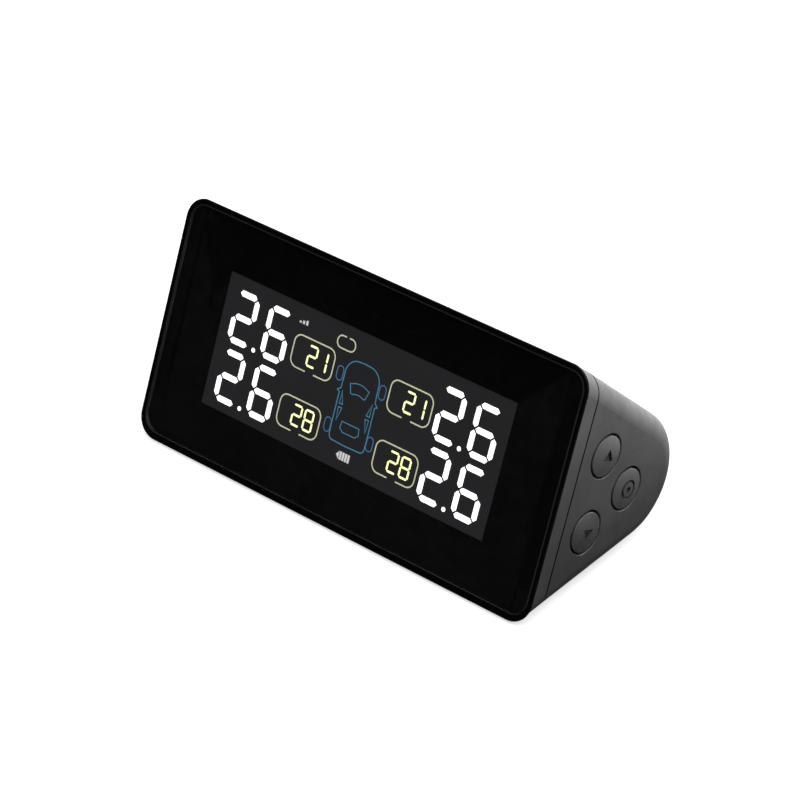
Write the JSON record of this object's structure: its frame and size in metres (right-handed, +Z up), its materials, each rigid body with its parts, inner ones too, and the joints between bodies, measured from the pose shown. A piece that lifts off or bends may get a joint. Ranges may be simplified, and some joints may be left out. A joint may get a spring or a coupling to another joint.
{
  "type": "tire pressure monitor display",
  "caption": "Dash-top tyre pressure display: leaning panel in a wedge case with rounded back, sloping top solar panel, side push buttons and non-slip base pad.",
  "frame": {"origin": "centre of the non-slip base pad's underside, on the surface the display stands on", "axes": "+Z up; +X to the display's right, towards the button side; +Y to its back, so the panel faces -Y and leans back 25.5 degrees"},
  "size_m": [0.0985, 0.0448, 0.0445],
  "materials": {
    "clear_cover": "polished clear acrylic",
    "mask_black": "black gloss border",
    "case_black": "fine satin texture",
    "guide_black": "moulded matte",
    "button_black": "smooth satin",
    "polariser_grey": "dark film",
    "cell_glass": "float glass",
    "contact_rubber": "silicone strip",
    "guide_clear": "frosted acrylic",
    "white_film": "white film",
    "white_plastic": "white moulded",
    "led_white": "white package",
    "board_green": "solder resist",
    "screw_steel": "zinc plated",
    "chip_black": "moulded epoxy",
    "ceramic_tan": "ceramic",
    "can_steel": "nickel silver can",
    "coil_copper": "enamelled wire",
    "buzzer_black": "moulded",
    "connector_cream": "nylon",
    "header_black": "moulded",
    "switch_black": "moulded",
    "plunger_grey": "moulded",
    "pouch_foil": "laminated foil",
    "foam_black": "foam tape",
    "wire_red": "PVC insulated",
    "tape_white": "adhesive tape",
    "backing_dark": "glass-fibre board",
    "cell_blue": "silicon",
    "resin_clear": "clear epoxy",
    "pad_black": "non-slip silicone"
  },
  "bodies": {
    "case": {"front_cover": "clear_cover", "cover_mask_tape": "mask_black", "front_bezel": "case_black", "rear_housing": "case_black", "button_guide": "guide_black", "lcd_front_polariser": "polariser_grey", "lcd_rear_polariser": "polariser_grey", "lcd_front_glass": "cell_glass", "lcd_rear_glass": "cell_glass", "lcd_contact_strip": "contact_rubber", "light_guide": "guide_clear", "reflector_sheet": "white_film", "backlight_frame": "white_plastic", "backlight_leds": "led_white", "main_board": "board_green", "button_board": "board_green", "board_screws": "screw_steel", "guide_screws": "screw_steel", "controller_chip": "chip_black", "receiver_chip": "chip_black", "charge_chip": "chip_black", "chip_passives": "ceramic_tan", "crystal_can": "can_steel", "vibration_sensor": "can_steel", "usb_socket": "can_steel", "antenna_coil": "coil_copper", "buzzer": "buzzer_black", "battery_connector": "connector_cream", "button_header": "header_black", "tact_switch_bodies": "switch_black", "battery_pouch": "pouch_foil", "battery_foam_tape": "foam_black", "battery_wires": "wire_red", "solar_wires": "wire_red", "solar_tape": "tape_white", "solar_backing": "backing_dark", "solar_cells": "cell_blue", "solar_resin": "resin_clear", "base_pad": "pad_black"},
    "up_button": {"up_button": "button_black"},
    "set_button": {"set_button": "button_black"},
    "down_button": {"down_button": "button_black"},
    "up_switch_plunger": {"up_switch_plunger": "plunger_grey"},
    "set_switch_plunger": {"set_switch_plunger": "plunger_grey"},
    "down_switch_plunger": {"down_switch_plunger": "plunger_grey"}
  },
  "joints": [
    {"name": "up_button_press", "type": "slide", "parent": "case", "child": "up_button", "axis": [-1, 0, 0], "range_m": [0, 0.0005], "stiffness_N_per_m": 900},
    {"name": "set_button_press", "type": "slide", "parent": "case", "child": "set_button", "axis": [-1, 0, 0], "range_m": [0, 0.0005], "stiffness_N_per_m": 900},
    {"name": "down_button_press", "type": "slide", "parent": "case", "child": "down_button", "axis": [-1, 0, 0], "range_m": [0, 0.0005], "stiffness_N_per_m": 900},
    {"name": "up_switch_press", "type": "slide", "parent": "case", "child": "up_switch_plunger", "axis": [-1, 0, 0], "range_m": [0, 0.0005]},
    {"name": "set_switch_press", "type": "slide", "parent": "case", "child": "set_switch_plunger", "axis": [-1, 0, 0], "range_m": [0, 0.0005]},
    {"name": "down_switch_press", "type": "slide", "parent": "case", "child": "down_switch_plunger", "axis": [-1, 0, 0], "range_m": [0, 0.0005]}
  ],
  "couplings": [
    {"joint": "up_switch_press", "follows": "up_button_press", "ratio": 1},
    {"joint": "set_switch_press", "follows": "set_button_press", "ratio": 1},
    {"joint": "down_switch_press", "follows": "down_button_press", "ratio": 1}
  ]
}
